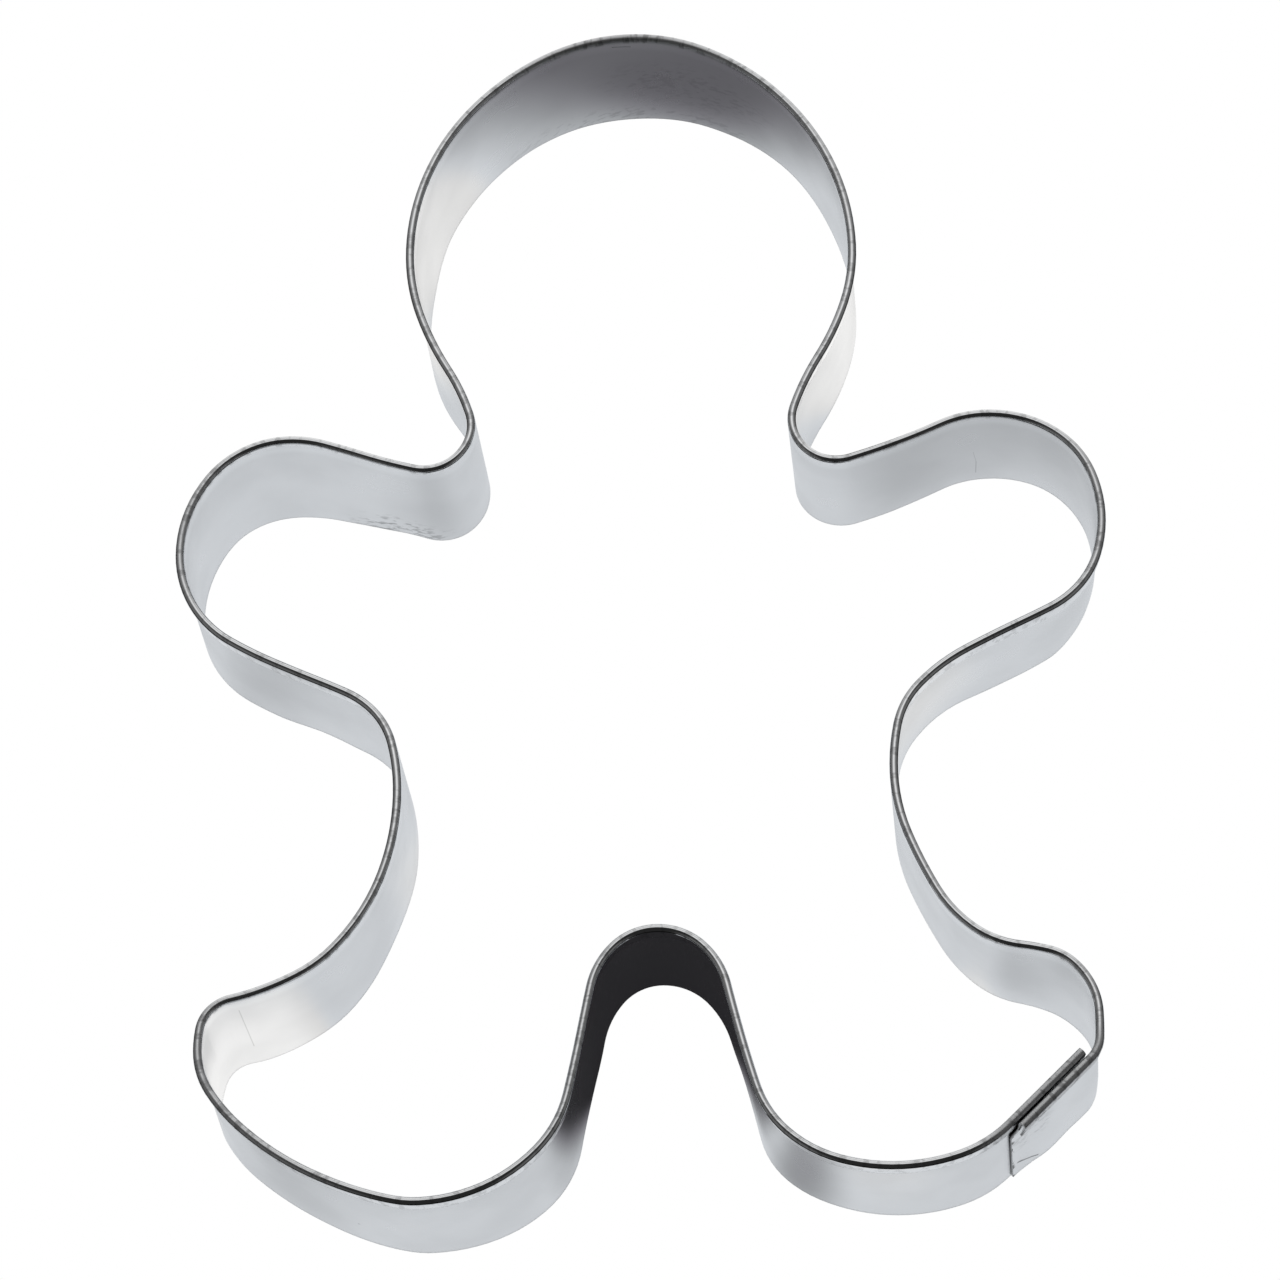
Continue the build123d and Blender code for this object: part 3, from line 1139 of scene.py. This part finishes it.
def floor_material(stage):
    """White floor: plain white to the eye, toned for near reflections and clear for long ones"""
    material = bpy.data.materials.new("white_floor")
    material.use_nodes = True
    tree = material.node_tree
    tree.nodes.clear()
    place = add(tree, "ShaderNodeTexCoord").outputs["Object"]
    path = add(tree, "ShaderNodeLightPath").outputs
    light = stage.floor_shine
    one_pool = pool_group()
    for name, (centre, reach, core, gain) in POOLS.items():
        values = {
            "Light": light,
            "Place": place,
            "Centre": (centre[0] * MM, centre[1] * MM, 0.0),
            "Reach": (reach[0] * MM, reach[1] * MM, 1.0),
            "Core": core,
            "Gain": gain,
        }
        light = add(tree, "ShaderNodeGroup", values, node_tree=one_pool, label=name).outputs["Light"]
    tint = blended(tree, ramp(tree, light, 0.1, 0.5), SHADE_TINT, HALF_LIGHT_TINT)
    tint = blended(tree, ramp(tree, light, 0.82, 0.95), tint, FULL_LIGHT_TINT)
    near = add(tree, "ShaderNodeEmission", {"Color": tint, "Strength": light}).outputs[0]
    clear = add(tree, "ShaderNodeBsdfTransparent").outputs[0]
    long = ramp(tree, path["Ray Length"], *FLOOR_SHOWS)
    mirrored = add(tree, "ShaderNodeMixShader", {0: long, 1: near, 2: clear}).outputs[0]
    seen = add(tree, "ShaderNodeEmission", {"Strength": 1.0}).outputs[0]
    mixed = add(tree, "ShaderNodeMixShader", {0: path["Is Camera Ray"], 1: mirrored, 2: seen}).outputs[0]
    add(tree, "ShaderNodeOutputMaterial", {"Surface": mixed})
    return material


def studio_world():
    """Studio light by direction: numbers in the ramps are parts of the unit vector that points there"""
    world = bpy.data.worlds.new("studio")
    world.use_nodes = True
    tree = world.node_tree
    tree.nodes.clear()
    ray = add(tree, "ShaderNodeTexCoord").outputs["Generated"]
    parts = add(tree, "ShaderNodeSeparateXYZ", {"Vector": ray}).outputs
    aside = calc(tree, "ABSOLUTE", parts["X"])

    # Soft light high behind the cutter
    high = product(tree, bell(tree, parts["Y"], 0.42, 0.36), bell(tree, parts["X"], 0.0, 0.85))
    high = product(tree, high, ramp(tree, parts["Z"], 0.0, 0.4, 0.0, HIGH_LIGHT))

    # White sweep low behind it, weaker at its ends
    sweep = ramp(tree, parts["Y"], 0.45, 0.95, 0.0, SWEEP_LIGHT)
    sweep = product(tree, sweep, ramp(tree, aside, 0.3, 0.9, 1.0, SWEEP_ENDS))

    # Dark room in front with greyer sides, darker still below
    room = ramp(tree, aside, 0.35, 0.8, ROOM_LIGHT, SIDE_LIGHT)
    room = product(tree, room, ramp(tree, parts["Z"], -0.3, 0.2, ROOM_BELOW, 1.0))

    # Plain white to the eye
    eye = add(tree, "ShaderNodeLightPath").outputs["Is Camera Ray"]
    light = calc(tree, "MAXIMUM", summed(tree, high, sweep, room), eye)
    shown = add(tree, "ShaderNodeBackground", {"Strength": light}).outputs[0]
    add(tree, "ShaderNodeOutputWorld", {"Surface": shown})
    return world


class CUTTER_OT_stage(bpy.types.Operator):
    """Set the white floor, the soft studio light and the camera"""

    bl_idname = "cutter.stage"
    bl_label = "Stage"

    def execute(self, context):
        stage = context.scene.cutter_stage
        mesh = bpy.data.meshes.new("floor")
        signs = [(-1, -1), (1, -1), (1, 1), (-1, 1)]
        corners = [(x * FLOOR_HALF, y * FLOOR_HALF, -FLOOR_DROP) for x, y in signs]
        mesh.from_pydata(corners, [], [(0, 1, 2, 3)])
        mesh.materials.append(floor_material(stage))
        floor = bpy.data.objects.new("floor", mesh)
        context.scene.collection.objects.link(floor)
        context.scene.world = studio_world()
        camera = bpy.data.cameras.new("camera")
        camera.angle = stage.camera_view
        holder = bpy.data.objects.new("camera", camera)
        holder.location = stage.camera_place
        holder.rotation_euler = stage.camera_turn
        context.scene.collection.objects.link(holder)
        context.scene.camera = holder
        context.scene.view_settings.view_transform = "Standard"
        return {"FINISHED"}


class CUTTER_PT_panel(bpy.types.Panel):
    """Panel that lists the sizes and the steps"""

    bl_idname = "CUTTER_PT_panel"
    bl_label = "Cookie cutter"
    bl_space_type = "VIEW_3D"
    bl_region_type = "UI"
    bl_category = "Cutter"

    def draw(self, context):
        for group, operator in STEPS:
            values = getattr(context.scene, group)
            box = self.layout.box()
            for name in values.__annotations__:
                box.prop(values, name)
            if operator:
                box.operator(operator)


GROUPS = {
    "cutter_strip": CutterStripSizes,
    "cutter_welds": CutterWeldSizes,
    "cutter_finish": CutterFinish,
    "cutter_stage": CutterStage,
}
STEPS = (
    ("cutter_strip", "cutter.hemmed_strip"),
    ("cutter_welds", "cutter.spot_welds"),
    ("cutter_finish", None),
    ("cutter_stage", "cutter.stage"),
)
CLASSES = (CUTTER_OT_hemmed_strip, CUTTER_OT_spot_welds, CUTTER_OT_stage, CUTTER_PT_panel)


def register():
    """Register the property groups, the operators and the panel"""
    for name, group in GROUPS.items():
        bpy.utils.register_class(group)
        setattr(bpy.types.Scene, name, bpy.props.PointerProperty(type=group))
    for item in CLASSES:
        bpy.utils.register_class(item)


def unregister():
    """Unregister what register made"""
    for item in reversed(CLASSES):
        bpy.utils.unregister_class(item)
    for name, group in GROUPS.items():
        delattr(bpy.types.Scene, name)
        bpy.utils.unregister_class(group)


def main():
    """Make the cutter and its stage"""
    register()
    bpy.ops.cutter.hemmed_strip()
    bpy.ops.cutter.spot_welds()
    bpy.ops.cutter.stage()


if __name__ == "__main__":
    main()
